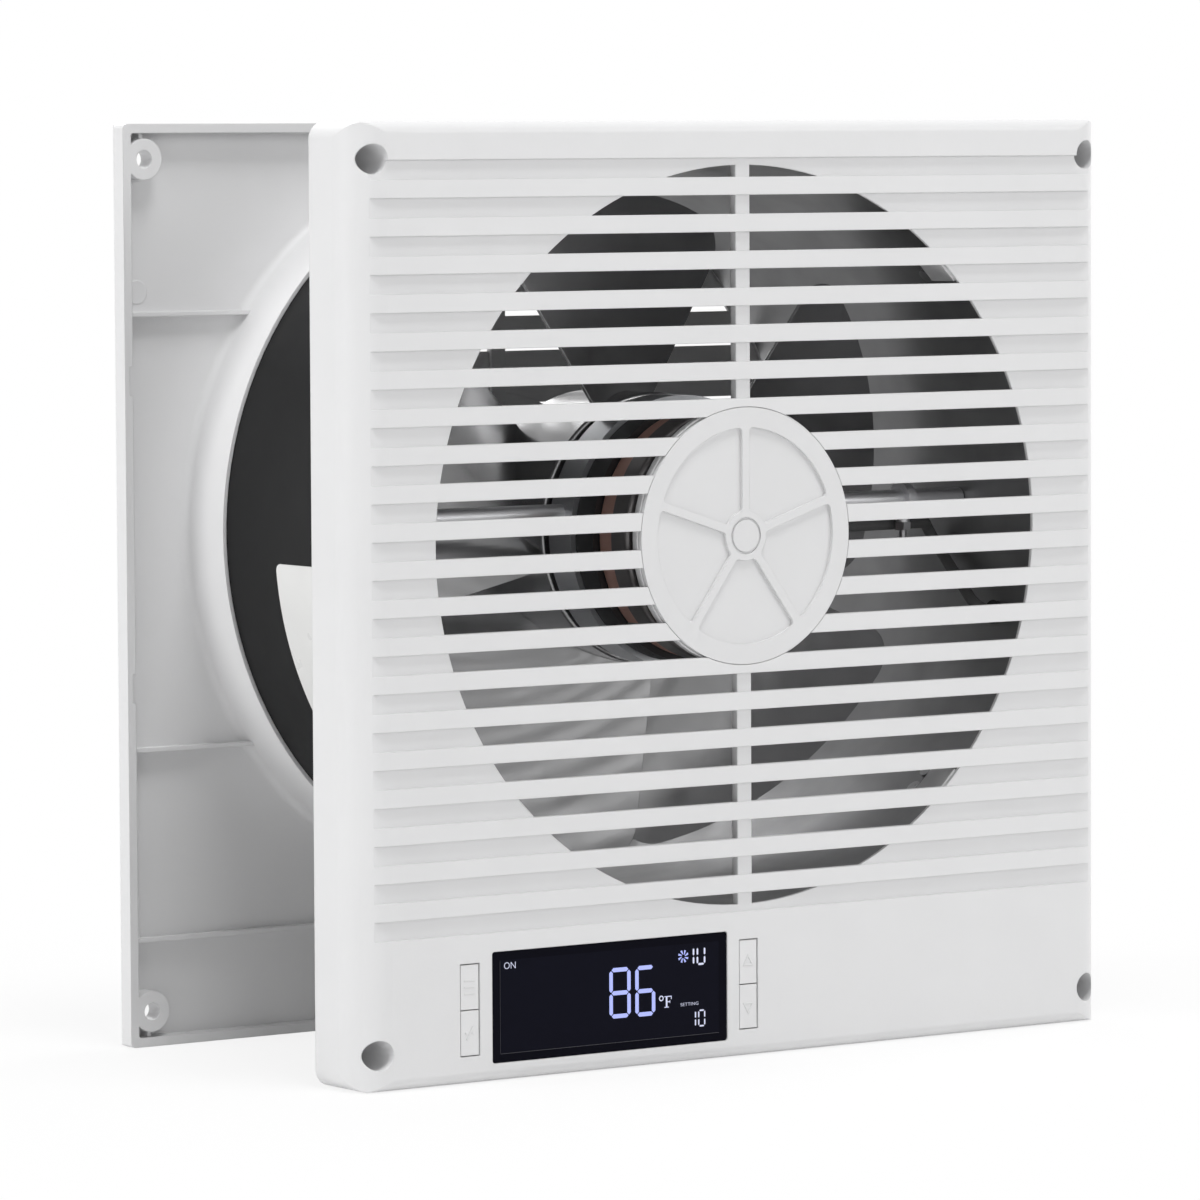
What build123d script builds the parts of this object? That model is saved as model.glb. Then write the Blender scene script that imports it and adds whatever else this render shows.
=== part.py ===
from build123d import *
import math
import os

os.makedirs("parts", exist_ok=True)

# Room to room fan in millimetres: +X to the right, +Z up, the control side faces -Y.
# The fan axis runs along Y, and both wall plates stand on z = 0.

# Duct and the wall plates around it
duct_diameter = 205.6
duct_wall = 1.0
side_margin = 23.7
top_margin = 9.8
control_band = 39.6
wall_gap = 94.0
cover_depth = 21.5
rear_depth = 7.0
cover_wall = 2.5
rear_lip = 2.6
face_thickness = 2.2
cover_side_radius = 10.5
cover_edge_radius = 3.0
cover_corner_radius = 4.5
rear_edge_radius = 2.6
rear_corner_radius = 1.5
adjustment = 12.0

# Louvres
slat_pitch = 10.0
groove_height = 5.15
groove_depth = 1.2
opening_inset = 1.1
rib_width = 4.7
rib_depth = 1.4

# Round badge in the middle of each grille
medallion_radius = 35.0
medallion_thickness = 1.8
hub_thickness = 1.5
hub_overlap = 0.6
relief_depth = 0.9
relief_count = 5
relief_rim = 5.5
relief_web = 2.4
centre_button_radius = 4.4
peg_radius = 2.0
peg_circle = 18.0

# Screw places in the corners of both plates
hole_inset_x = 6.8
hole_inset_z = 9.75
screw_hole_radius = 2.5
screw_recess_radius = 4.0
screw_floor = 5.0
boss_radius = 6.0
rear_boss_radius = 5.7

# Seat that holds the duct behind the louvres
seat_depth = 0.7
sleeve_length = 9.1
sleeve_wall = 2.0
clip_width = 8.0
clip_thickness = 1.4
clip_length = 9.1

# Collar and ribs of the rear plate
collar_wall = 1.1
collar_length = 18.8
collar_fillet = 2.5
duct_end_gap = 3.2
tray_rib_height = 3.0
tray_rib_thickness = 1.2
tray_rib_offset = 60.2
low_rib_offset = 113.0
notch_height = 8.0
notch_depth = 1.0
notch_length = 2.5
notch_upper = 42.0
notch_lower = 42.8
pad_radius = 3.3
pad_height = 0.15
pad_offset = 66.3

# Display and buttons
control_margin = 80.9
window_width = 77.5
window_margin = 4.85
window_radius = 0.8
window_set_in = 0.3
window_flange = 1.2
window_flange_thickness = 1.2
lcd_border = 3.0
button_gap = 4.0
button_width = 6.3
button_column = 24.8
button_travel = 1.0
button_set_in = 0.2
button_body = 4.2
button_flange = 1.0
button_flange_thickness = 1.0
icon_height = 0.15
icon_size = 3.4
icon_line = 0.4
switch_size = 6.0
switch_bore = 1.6
switch_bore_depth = 2.2
plunger_radius = 1.4
plunger_entry = 0.6

# Boards
board_depth = 8.4
board_thickness = 1.6
board_margin = 3.8
board_overhang = 9.4
board_post_inset = 2.6
board_post_radius = 2.2
board_screw_radius = 0.8
board_screw_head = 1.6
driver_slot = 0.7
driver_depth = 1.0
power_board_margin = 14.5
power_board_width = 86.0
component_depth = 8.0
inlet_margin = 34.5
inlet_width = 9.0
inlet_length = 8.6
inlet_height = 11.0
inlet_hole_radius = 3.4
inlet_bore_radius = 2.75
sensor_margin = 18.5
sensor_radius = 1.8

# Plate that closes the back of the control housing
inner_plate_thickness = 2.0
inner_plate_set_in = 0.6
post_radius = 3.5
post_side_inset = 10.5
post_rise = 75.0
top_post_offset = 62.0
top_post_rise = 104.0
centre_post_gap = 8.0
plate_screw_radius = 1.5
plate_screw_head = 2.8
plate_screw_length = 9.0
countersink_depth = 1.6

# Lugs that tie the duct to that plate
lug_width = 12.0
lug_thickness = 1.2
lug_foot = 9.0
lug_leg = 6.0
rivet_radius = 1.2
rivet_head_radius = 2.2
rivet_head = 0.7
rivet_spread = 3.4

# Motor
motor_front = 6.5
end_cap_depth = 7.3
end_cap_wall = 2.0
end_cap_radius = 35.2
motor_radius = 36.0
winding_outer = 34.4
winding_inner = 21.0
winding_front = 7.2
winding_back = 2.6
winding_round = 1.2
stator_length = 8.2
stator_bore = 20.0
slot_count = 12
slot_width = 4.0
slot_depth = 5.0
bracket_radius = 37.5
bracket_thickness = 10.4
bearing_radius = 8.0
bearing_width = 5.0
shaft_radius = 3.0
motor_bolt_radius = 1.0
motor_bolt_circle = 33.4
motor_bolt_head = 1.8
rotor_core_radius = 19.5
motor_gap = 0.1
cap_round = 1.5

# Rods that carry the motor across the duct
rod_radius = 3.0
rod_rise = 5.5
rod_depth = 36.0
rod_socket = 15.0
collar_x = 81.6
collar_radius = 5.0
collar_width = 2.8
clamp_boss_radius = 2.0
clamp_boss_drop = 6.2
clamp_screw_radius = 1.1
clamp_screw_drop = 12.4
clamp_nut_radius = 2.4
clamp_nut_height = 2.2
rod_screw_radius = 1.4
rod_screw_depth = 8.0
rod_screw_head = 2.8
rod_screw_head_height = 1.6

# Motor lead and its grommet
lead_radius = 1.6
grommet_angle = -14.8
grommet_depth = 15.5
grommet_neck = 2.4
grommet_flange = 3.3
grommet_flange_thickness = 1.0
lead_bend = 4.0
lead_reach = 12.0
lead_loop = 48.5
lead_loop_angle = -2.0

# Fan wheel
blade_count = 5
blade_tip_radius = 93.2
blade_lead_angle = 50.0
blade_span_angle = 62.0
blade_lead_root = 40.9
blade_lead_tip = 45.3
blade_trail = 73.1
blade_thickness = 1.2
blade_corner = 10.0
hub_radius = 37.8
hub_wall = 2.0
hub_front = 43.0
hub_length = 31.0
hub_boss_radius = 9.0
hub_boss_length = 14.0
hub_screw_circle = 28.5
hub_screw_angle = 145.0
hub_screw_radius = 1.8
hub_screw_head = 3.4
nut_radius = 5.0
nut_thickness = 4.0

# Blank label on the duct
label_front = 30.0
label_length = 46.5
label_start = -176.0
label_arc = 30.0
label_thickness = 0.2
label_corner = 2.0

# Clearances
panel_clearance = 0.3
duct_clearance = 0.3
collar_clearance = 0.1
peg_clearance = 0.05
badge_clearance = 0.15
bearing_clearance = 0.02
hub_gap = 0.02
contact_gap = 0.1

# Values that follow from the sizes above
duct_radius = duct_diameter / 2
duct_bore = duct_radius - duct_wall
grille_radius = duct_bore - opening_inset
plate_width = duct_diameter + 2 * side_margin
plate_height = duct_diameter + top_margin + control_band
axis_height = control_band + duct_radius
groove_count = 2 * math.floor(grille_radius / slat_pitch) + 1
overall_depth = cover_depth + wall_gap + rear_depth
front = -overall_depth / 2
back = overall_depth / 2
wall_face = front + cover_depth
rear_rim = back - rear_depth
rear_floor = back - face_thickness
seat_end = face_thickness + seat_depth
duct_start = front + seat_end + contact_gap
duct_end = rear_floor - duct_end_gap
sleeve_bore = duct_radius + duct_clearance
sleeve_radius = sleeve_bore + sleeve_wall
hub_disc_radius = medallion_radius + hub_overlap
hub_disc_back = medallion_thickness + hub_thickness
hole_spacing_x = plate_width - 2 * hole_inset_x
hole_spacing_z = plate_height - 2 * hole_inset_z
band_centre = control_band / 2
control_offset = control_margin - plate_width / 2
sensor_x = sensor_margin - plate_width / 2
inlet_x = plate_width / 2 - inlet_margin
power_board_right = plate_width / 2 - power_board_margin
power_board_left = power_board_right - power_board_width
centre_post_x = power_board_left - centre_post_gap
window_height = control_band - 2 * window_margin
board_front = front + board_depth
board_back = board_front + board_thickness
board_height = control_band - 2 * board_margin
button_distance = window_width / 2 + button_gap + button_width / 2
board_width = 2 * (button_distance + board_overhang)
inner_plate_back = wall_face - inner_plate_set_in
inner_plate_front = inner_plate_back - inner_plate_thickness
cap_front = front + motor_front
cap_back = cap_front + end_cap_depth
stator_front = cap_back + winding_front + 2 * motor_gap
stator_back = stator_front + stator_length
bracket_front = stator_back + 2 * motor_gap
bracket_back = bracket_front + bracket_thickness
rod_y = front + rod_depth
rod_z = axis_height + rod_rise
hub_front_y = front + hub_front


def upright(y):
    """Vertical plane at depth y, read from the front: its x is X and its y is Z."""
    return Plane.XZ.offset(-y)


def radial_plane(angle, radius, y):
    """Plane at a radius from the fan axis, facing outwards at an angle from +X."""
    turn = math.radians(angle)
    outwards = (math.cos(turn), 0, math.sin(turn))
    middle = (radius * outwards[0], y, axis_height + radius * outwards[2])
    return Plane(origin=middle, x_dir=(0, 1, 0), z_dir=outwards)


def disc(radius, start, end, bore=0.0):
    """Round piece on the fan axis between two depths, with an optional bore."""
    with BuildPart() as piece:
        with BuildSketch(upright(start)):
            with Locations((0, axis_height)):
                Circle(radius)
                if bore > 0:
                    Circle(bore, mode=Mode.SUBTRACT)
        extrude(amount=start - end)
    return piece.part


def plate_block(width, height, depth, side_radius, edge_radius, corner_radius):
    """Block with its rounded face at y = 0 and its foot at z = 0, open side at y = depth."""
    with BuildPart() as block:
        with BuildSketch(Plane.XY) as plan:
            with Locations((0, depth / 2)):
                Rectangle(width, depth)
            fillet(plan.vertices().group_by(Axis.Y)[0], side_radius)
        extrude(amount=height)
        with BuildSketch(Plane.YZ) as side:
            with Locations((depth / 2, height / 2)):
                Rectangle(depth, height)
            fillet(side.vertices().group_by(Axis.X)[0], edge_radius)
        extrude(amount=width, both=True, mode=Mode.INTERSECT)
        with BuildSketch(upright(0)):
            with Locations((0, height / 2)):
                RectangleRounded(width, height, corner_radius)
        extrude(amount=-depth, mode=Mode.INTERSECT)
    return block.part


def write(piece, name):
    """Label a finished piece and write it to its own file."""
    piece.label = name
    export_step(piece, f"parts/{name}.step")


def louvre_slots(face, into):
    """Through slots of a grille: the groove floors inside the round opening."""
    with BuildPart() as slots:
        with BuildSketch(upright(face)):
            with Locations((0, axis_height)):
                with GridLocations(0, slat_pitch, 1, groove_count):
                    Rectangle(2 * grille_radius + slat_pitch, groove_height)
                Circle(grille_radius, mode=Mode.INTERSECT)
                Rectangle(rib_width, plate_height, mode=Mode.SUBTRACT)
                Circle(hub_disc_radius, mode=Mode.SUBTRACT)
        extrude(amount=-into * face_thickness)
    return slots.part


def louvre_grooves(face, into):
    """Shallow grooves across the whole face of a plate."""
    with BuildPart() as grooves:
        with BuildSketch(upright(face)):
            with Locations((0, axis_height)):
                with GridLocations(0, slat_pitch, 1, groove_count):
                    Rectangle(plate_width, groove_height)
        extrude(amount=-into * groove_depth)
    return grooves.part


def corner_cylinders(radius, start, end):
    """Four round pieces on the corner screw places between two depths."""
    with BuildPart() as group:
        with BuildSketch(upright(start)):
            with Locations((0, plate_height / 2)):
                with GridLocations(hole_spacing_x, hole_spacing_z, 2, 2):
                    Circle(radius)
        extrude(amount=start - end)
    return group.part


def pegs(radius, start, end):
    """Three pegs, or their holes, behind a round badge."""
    with BuildPart() as group:
        with BuildSketch(upright(start)):
            with Locations((0, axis_height)):
                with PolarLocations(peg_circle, 3, start_angle=90):
                    Circle(radius)
        extrude(amount=start - end)
    return group.part


# Places of the posts that the inner plate is screwed to, as x and z
post_side = plate_width / 2 - post_side_inset
post_places = [(centre_post_x, band_centre)]
for side in (-1, 1):
    post_places.append((side * post_side, axis_height + post_rise))
    post_places.append((side * post_side, axis_height - post_rise))
    post_places.append((side * top_post_offset, axis_height + top_post_rise))

# Places of the control board's screws, as x and z
board_post_x = board_width / 2 - board_post_inset
board_post_z = board_height / 2 - board_post_inset
power_middle = (power_board_left + power_board_right) / 2
power_post_x = power_board_width / 2 - board_post_inset
board_places = []
power_places = []
for side in (-1, 1):
    for rise in (-board_post_z, board_post_z):
        board_places.append((control_offset + side * board_post_x, band_centre + rise))
        power_places.append((power_middle + side * power_post_x, band_centre + rise))


# Hollow of the control housing, with everything that stands in it left out of the cut
cavity_width = plate_width - 2 * cover_wall
cavity_height = plate_height - 2 * cover_wall
cavity = plate_block(
    cavity_width,
    cavity_height,
    cover_depth,
    cover_side_radius - cover_wall,
    cover_edge_radius / 3,
    cover_corner_radius - cover_wall,
).moved(Location((0, front + face_thickness, cover_wall)))
face_back = front + face_thickness
seat_ring = disc(sleeve_radius, face_back, front + seat_end, grille_radius + opening_inset / 2)
sleeve = disc(sleeve_radius, front + seat_end, front + seat_end + sleeve_length, sleeve_bore)
hub_disc = disc(hub_disc_radius, face_back, front + hub_disc_back)
cover_bosses = corner_cylinders(boss_radius, face_back, wall_face)

with BuildPart() as cover_hollow:
    add(cavity)
    add(seat_ring, mode=Mode.SUBTRACT)
    add(sleeve, mode=Mode.SUBTRACT)
    add(hub_disc, mode=Mode.SUBTRACT)
    add(cover_bosses, mode=Mode.SUBTRACT)
    with BuildSketch(upright(face_back)):
        with Locations((0, axis_height)):
            Rectangle(rib_width, 2 * (duct_bore - duct_clearance))
    extrude(amount=-rib_depth, mode=Mode.SUBTRACT)
    with BuildSketch(upright(face_back)):
        with Locations(post_places):
            Circle(post_radius)
    extrude(amount=-(inner_plate_front - face_back), mode=Mode.SUBTRACT)
    with BuildSketch(upright(face_back)):
        with Locations(board_places + power_places):
            Circle(board_post_radius)
    extrude(amount=-(board_front - face_back), mode=Mode.SUBTRACT)
    with BuildSketch(upright(face_back)):
        with Locations((0, axis_height)):
            with PolarLocations(duct_bore - duct_clearance - clip_thickness / 2, 4, start_angle=45):
                Rectangle(clip_thickness, clip_width)
    extrude(amount=-(seat_depth + clip_length), mode=Mode.SUBTRACT)

cover_shell = plate_block(
    plate_width, plate_height, cover_depth, cover_side_radius, cover_edge_radius, cover_corner_radius
).moved(Location((0, front, 0)))
cover_grooves = louvre_grooves(front, 1)
cover_slots = louvre_slots(front, 1)
cover_recesses = corner_cylinders(screw_recess_radius, front, wall_face - screw_floor)
cover_holes = corner_cylinders(screw_hole_radius, front, wall_face)
badge_pocket = disc(medallion_radius + badge_clearance, front, front + medallion_thickness)
cover_peg_holes = pegs(peg_radius + peg_clearance, front, front + hub_disc_back)

with BuildPart() as front_cover:
    add(cover_shell)
    add(cover_hollow.part, mode=Mode.SUBTRACT)
    add(cover_grooves, mode=Mode.SUBTRACT)
    add(cover_slots, mode=Mode.SUBTRACT)
    add(cover_recesses, mode=Mode.SUBTRACT)
    add(cover_holes, mode=Mode.SUBTRACT)
    add(badge_pocket, mode=Mode.SUBTRACT)
    add(cover_peg_holes, mode=Mode.SUBTRACT)
    # Display window and the two button columns
    with BuildSketch(upright(front)):
        with Locations((control_offset, band_centre)):
            RectangleRounded(window_width, window_height, window_radius)
            with GridLocations(2 * button_distance, 0, 2, 1):
                Rectangle(button_width, button_column)
    extrude(amount=-face_thickness, mode=Mode.SUBTRACT)
    # Pilot holes in the posts
    with BuildSketch(upright(inner_plate_front)):
        with Locations(post_places):
            Circle(plate_screw_radius)
    extrude(amount=plate_screw_length - inner_plate_thickness + contact_gap, mode=Mode.SUBTRACT)
    with BuildSketch(upright(board_front)):
        with Locations(board_places + power_places):
            Circle(board_screw_radius)
    extrude(amount=board_depth - face_thickness, mode=Mode.SUBTRACT)
    # Supply inlet and the air slits of the room sensor, in the bottom edge
    with BuildSketch(Plane.XY):
        with Locations((inlet_x, board_back + inlet_length / 2)):
            Circle(inlet_hole_radius)
        with Locations((sensor_x, board_back)):
            with GridLocations(2 * sensor_radius, 0, 3, 1):
                Rectangle(sensor_radius, 2 * board_thickness)
    extrude(amount=cover_wall, mode=Mode.SUBTRACT)
write(front_cover.part, "front_cover")


def medallion(face, into):
    """Round badge with spoked relief and a centre button, facing the room."""
    inner = face + into * medallion_thickness
    peg_group = pegs(peg_radius, inner, face + into * hub_disc_back)
    with BuildPart() as badge:
        with BuildSketch(upright(face)):
            with Locations((0, axis_height)):
                Circle(medallion_radius)
        extrude(amount=-into * medallion_thickness)
        with BuildSketch(upright(face)) as relief:
            with Locations((0, axis_height)):
                Circle(medallion_radius - relief_rim)
                Circle(centre_button_radius + relief_web, mode=Mode.SUBTRACT)
                with PolarLocations(medallion_radius / 2, relief_count, start_angle=90):
                    Rectangle(medallion_radius, relief_web, mode=Mode.SUBTRACT)
            fillet(relief.vertices(), relief_web / 2)
        extrude(amount=-into * relief_depth, mode=Mode.SUBTRACT)
        with BuildSketch(upright(face)):
            with Locations((0, axis_height)):
                Circle(centre_button_radius + relief_web / 4)
                Circle(centre_button_radius, mode=Mode.SUBTRACT)
        extrude(amount=-into * relief_depth / 2, mode=Mode.SUBTRACT)
        add(peg_group)
    return badge.part


write(medallion(front, 1), "medallion")
write(medallion(back, -1), "rear_medallion")

# Glossy display window, held by a flange behind the face
with BuildPart() as display_window:
    with BuildSketch(upright(front + window_set_in)):
        with Locations((control_offset, band_centre)):
            RectangleRounded(
                window_width - 2 * contact_gap, window_height - 2 * contact_gap, window_radius
            )
    extrude(amount=-(face_thickness - window_set_in))
    with BuildSketch(upright(face_back)):
        with Locations((control_offset, band_centre)):
            RectangleRounded(
                window_width + 2 * window_flange, window_height + 2 * window_flange, window_radius
            )
    extrude(amount=-window_flange_thickness)
write(display_window.part, "display_window")

lcd_front = face_back + window_flange_thickness
with BuildPart() as lcd_module:
    with BuildSketch(upright(lcd_front)):
        with Locations((control_offset, band_centre)):
            Rectangle(window_width - 2 * lcd_border, window_height - 2 * lcd_border)
    extrude(amount=-(board_front - lcd_front))
write(lcd_module.part, "lcd_module")

# Buttons: each fills half of a column and has a plunger that enters its switch
button_height = (button_column - 3 * panel_clearance) / 2
button_rise = (button_height + panel_clearance) / 2
button_front = front + button_set_in
button_back = button_front + button_body
switch_front = button_back + button_travel + contact_gap
button_flange_front = face_back + panel_clearance


def button(x, side, draw_icon):
    """Push button at x in the upper (1) or lower (-1) half of a column."""
    middle = band_centre + side * button_rise
    with BuildPart() as cap:
        with BuildSketch(upright(button_front)):
            with Locations((x, middle)):
                Rectangle(button_width - 2 * panel_clearance, button_height)
        extrude(amount=-button_body)
        with BuildSketch(upright(button_flange_front)):
            with Locations((x, middle + side * button_flange / 2)):
                Rectangle(button_width + 2 * button_flange, button_height + button_flange)
        extrude(amount=-button_flange_thickness)
        with BuildSketch(upright(button_back)):
            with Locations((x, middle)):
                Circle(plunger_radius)
        extrude(amount=-(switch_front + plunger_entry - button_back))
        with BuildSketch(upright(button_front)):
            with Locations((x, middle)):
                draw_icon(side)
        extrude(amount=icon_height)
    return cap.part


def lines_icon(side):
    """Three level lines."""
    with GridLocations(0, icon_size / 2, 1, 3):
        Rectangle(icon_size, icon_line)


def speed_icon(side):
    """A slash between two dots."""
    Rectangle(icon_line, 1.2 * icon_size, rotation=-30)
    with GridLocations(0.6 * icon_size, 0, 2, 1):
        Circle(icon_line)


def arrow_icon(side):
    """Outline of a triangle that points up or down."""
    RegularPolygon(icon_size / 2 + icon_line, 3, rotation=90 * side)
    RegularPolygon(icon_size / 2 - icon_line, 3, rotation=90 * side, mode=Mode.SUBTRACT)


left_column = control_offset - button_distance
right_column = control_offset + button_distance
write(button(left_column, 1, lines_icon), "button_menu")
write(button(left_column, -1, speed_icon), "button_mode")
write(button(right_column, 1, arrow_icon), "button_up")
write(button(right_column, -1, arrow_icon), "button_down")

with BuildPart() as button_switches:
    with BuildSketch(upright(switch_front)):
        with Locations((control_offset, band_centre)):
            with GridLocations(2 * button_distance, 2 * button_rise, 2, 2):
                Rectangle(switch_size, switch_size)
    extrude(amount=-(board_front - switch_front))
    with BuildSketch(upright(switch_front)):
        with Locations((control_offset, band_centre)):
            with GridLocations(2 * button_distance, 2 * button_rise, 2, 2):
                Circle(switch_bore)
    extrude(amount=-switch_bore_depth, mode=Mode.SUBTRACT)
write(button_switches.part, "button_switches")


def board(middle, width, places):
    """Circuit board with its screw holes."""
    with BuildPart() as plate:
        with BuildSketch(upright(board_front)):
            with Locations((middle, band_centre)):
                Rectangle(width, board_height)
            with Locations(places):
                Circle(board_screw_radius + contact_gap, mode=Mode.SUBTRACT)
        extrude(amount=-board_thickness)
    return plate.part


write(board(control_offset, board_width, board_places), "control_board")
write(board(power_middle, power_board_width, power_places), "power_board")

with BuildPart() as board_screws:
    with BuildSketch(upright(board_back)):
        with Locations(board_places + power_places):
            Circle(board_screw_head)
    extrude(amount=-board_screw_radius)
    with BuildSketch(upright(board_back)):
        with Locations(board_places + power_places):
            Circle(board_screw_radius - contact_gap / 4)
    extrude(amount=board_depth - face_thickness)
write(board_screws.part, "board_screws")

# Transformer, two capacitors and the lead socket on the supply board
socket_x = power_board_right - 8.0
with BuildPart() as power_components:
    with BuildSketch(upright(board_back)):
        with Locations((power_board_left + 0.22 * power_board_width, band_centre)):
            RectangleRounded(0.26 * power_board_width, 0.66 * board_height, 1.5)
    extrude(amount=-component_depth)
    with BuildSketch(upright(board_back)):
        with Locations((power_board_left + 0.48 * power_board_width, band_centre)):
            with GridLocations(0, 0.42 * board_height, 1, 2):
                Circle(0.18 * board_height)
    extrude(amount=-0.9 * component_depth)
    with BuildSketch(upright(board_back)):
        with Locations((socket_x, band_centre + 0.25 * board_height)):
            Rectangle(3 * lead_radius, 0.3 * board_height)
    extrude(amount=-4 * lead_radius)
write(power_components.part, "power_components")

# Supply inlet, open at the bottom edge
with BuildPart() as power_inlet:
    with BuildSketch(Plane.XY.offset(cover_wall)):
        with Locations((inlet_x, board_back + inlet_length / 2)):
            Rectangle(inlet_width, inlet_length - 2 * contact_gap)
    extrude(amount=inlet_height)
    with BuildSketch(Plane.XY.offset(cover_wall)):
        with Locations((inlet_x, board_back + inlet_length / 2)):
            Circle(inlet_bore_radius)
    extrude(amount=inlet_height - cover_wall, mode=Mode.SUBTRACT)
write(power_inlet.part, "power_inlet")

# Room sensor, a bead on the end of a strip that is soldered to the control board
sensor_reach = control_offset - board_width / 2 - sensor_x
with BuildPart() as temperature_sensor:
    with BuildSketch(upright(board_back)):
        with Locations((sensor_x + sensor_reach / 2 + sensor_radius, cover_wall + 2 * board_margin)):
            Rectangle(sensor_reach + 2 * sensor_radius, sensor_radius)
    extrude(amount=-sensor_radius / 2)
    with BuildSketch(upright(board_back)):
        with Locations((sensor_x, cover_wall + 2 * board_margin)):
            Circle(sensor_radius)
    extrude(amount=-2 * sensor_radius)
write(temperature_sensor.part, "temperature_sensor")

# Inner plate behind the electronics, cut out for the duct and the corner bosses
boss_cutouts = corner_cylinders(boss_radius + panel_clearance, inner_plate_front, inner_plate_back)
lug_screw_circle = duct_radius + lug_thickness + lug_foot * 0.55
with BuildPart() as inner_plate:
    with BuildSketch(upright(inner_plate_front)):
        with Locations((0, plate_height / 2)):
            RectangleRounded(
                cavity_width - 2 * panel_clearance,
                cavity_height - 2 * panel_clearance,
                cover_corner_radius - cover_wall,
            )
        with Locations((0, axis_height)):
            Circle(sleeve_bore, mode=Mode.SUBTRACT)
    extrude(amount=-inner_plate_thickness)
    add(boss_cutouts, mode=Mode.SUBTRACT)
    with BuildSketch(upright(inner_plate_front)) as plate_holes:
        with Locations(post_places):
            Circle(plate_screw_radius + contact_gap)
        with Locations((0, axis_height)):
            with PolarLocations(lug_screw_circle, 4, start_angle=45):
                Circle(plate_screw_radius + contact_gap)
    extrude(amount=-inner_plate_thickness, mode=Mode.SUBTRACT)
    with BuildSketch(upright(inner_plate_back)) as sinks:
        with Locations(post_places):
            Circle(plate_screw_head + contact_gap)
        with Locations((0, axis_height)):
            with PolarLocations(lug_screw_circle, 4, start_angle=45):
                Circle(plate_screw_head + contact_gap)
    extrude(amount=countersink_depth, taper=38, mode=Mode.SUBTRACT)
write(inner_plate.part, "inner_plate")


def sunk_screws(places, length):
    """Countersunk screws through the inner plate, heads flush with its back."""
    with BuildPart() as group:
        with BuildSketch(upright(inner_plate_back)):
            with Locations(places):
                Circle(plate_screw_radius - contact_gap / 4)
        extrude(amount=length)
        with BuildSketch(upright(inner_plate_back)):
            with Locations(places):
                Circle(plate_screw_head)
        extrude(amount=countersink_depth - contact_gap, taper=38)
        with BuildSketch(upright(inner_plate_back)):
            with Locations(places):
                Rectangle(plate_screw_head, driver_slot)
                Rectangle(driver_slot, plate_screw_head)
        extrude(amount=driver_depth, mode=Mode.SUBTRACT)
    return group.part


lug_angles = [45 + 90 * quarter for quarter in range(4)]
lug_screw_places = [
    (
        lug_screw_circle * math.cos(math.radians(angle)),
        axis_height + lug_screw_circle * math.sin(math.radians(angle)),
    )
    for angle in lug_angles
]
write(sunk_screws(post_places, plate_screw_length), "inner_plate_screws")
write(sunk_screws(lug_screw_places, inner_plate_thickness + 3 * lug_thickness), "lug_screws")

# Rivets and screws that pass through the duct wall, by angle, depth and side
rivet_y = inner_plate_front - lug_thickness - rivet_head_radius - 2 * contact_gap
rivet_turn = math.degrees(rivet_spread / duct_radius)
rivet_angles = [angle + side * rivet_turn for angle in lug_angles for side in (-1, 1)]
rod_angle = math.degrees(math.asin(rod_rise / duct_radius))
rod_angles = [rod_angle, 180 - rod_angle]
grommet_y = front + grommet_depth


def radial_cylinders(radius, angles, start, end, y):
    """Round pieces that point away from the fan axis, between two radii."""
    with BuildPart() as group:
        for angle in angles:
            with BuildSketch(radial_plane(angle, start, y)):
                Circle(radius)
            extrude(amount=end - start)
    return group.part


rod_ends = math.sqrt(duct_bore**2 - (rod_rise + rod_radius) ** 2) - contact_gap


def rod_cylinders(radius, start, end, y=rod_y, z=rod_z):
    """Round pieces along X on both sides of the motor, between two distances from the middle."""
    with BuildPart() as group:
        with BuildSketch(Plane.YZ.offset(start)):
            with Locations((y, z)):
                Circle(radius)
        extrude(amount=end - start)
        mirror(about=Plane.YZ)
    return group.part


inside = duct_bore - duct_wall
outside = duct_radius + lug_thickness + duct_wall
rivet_holes = radial_cylinders(rivet_radius + contact_gap / 4, rivet_angles, inside, outside, rivet_y)
grommet_hole = radial_cylinders(grommet_neck + contact_gap, [grommet_angle], inside, outside, grommet_y)
rod_screw_holes = rod_cylinders(rod_screw_radius + contact_gap, rod_ends - duct_wall, outside)
duct_body = disc(duct_radius, duct_start, duct_end, duct_bore)
with BuildPart() as duct_tube:
    add(duct_body)
    add(rivet_holes, mode=Mode.SUBTRACT)
    add(grommet_hole, mode=Mode.SUBTRACT)
    add(rod_screw_holes, mode=Mode.SUBTRACT)
write(duct_tube.part, "duct_tube")

# Angle lugs between the duct and the inner plate
lug_base = duct_radius + contact_gap / 2
with BuildPart() as duct_lugs:
    with BuildSketch(upright(inner_plate_front - lug_leg)):
        with Locations((0, axis_height)):
            with PolarLocations(lug_base + lug_thickness / 2, 4, start_angle=45):
                Rectangle(lug_thickness, lug_width)
    extrude(amount=-lug_leg)
    with BuildSketch(upright(inner_plate_front - lug_thickness)):
        with Locations((0, axis_height)):
            with PolarLocations(lug_base + lug_foot / 2, 4, start_angle=45):
                Rectangle(lug_foot, lug_width)
    extrude(amount=-lug_thickness)
    with BuildSketch(upright(inner_plate_front - lug_thickness)):
        with Locations((0, axis_height)):
            with PolarLocations(lug_screw_circle, 4, start_angle=45):
                Circle(plate_screw_radius)
    extrude(amount=-lug_thickness, mode=Mode.SUBTRACT)
    add(rivet_holes, mode=Mode.SUBTRACT)
write(duct_lugs.part, "duct_lugs")

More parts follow.
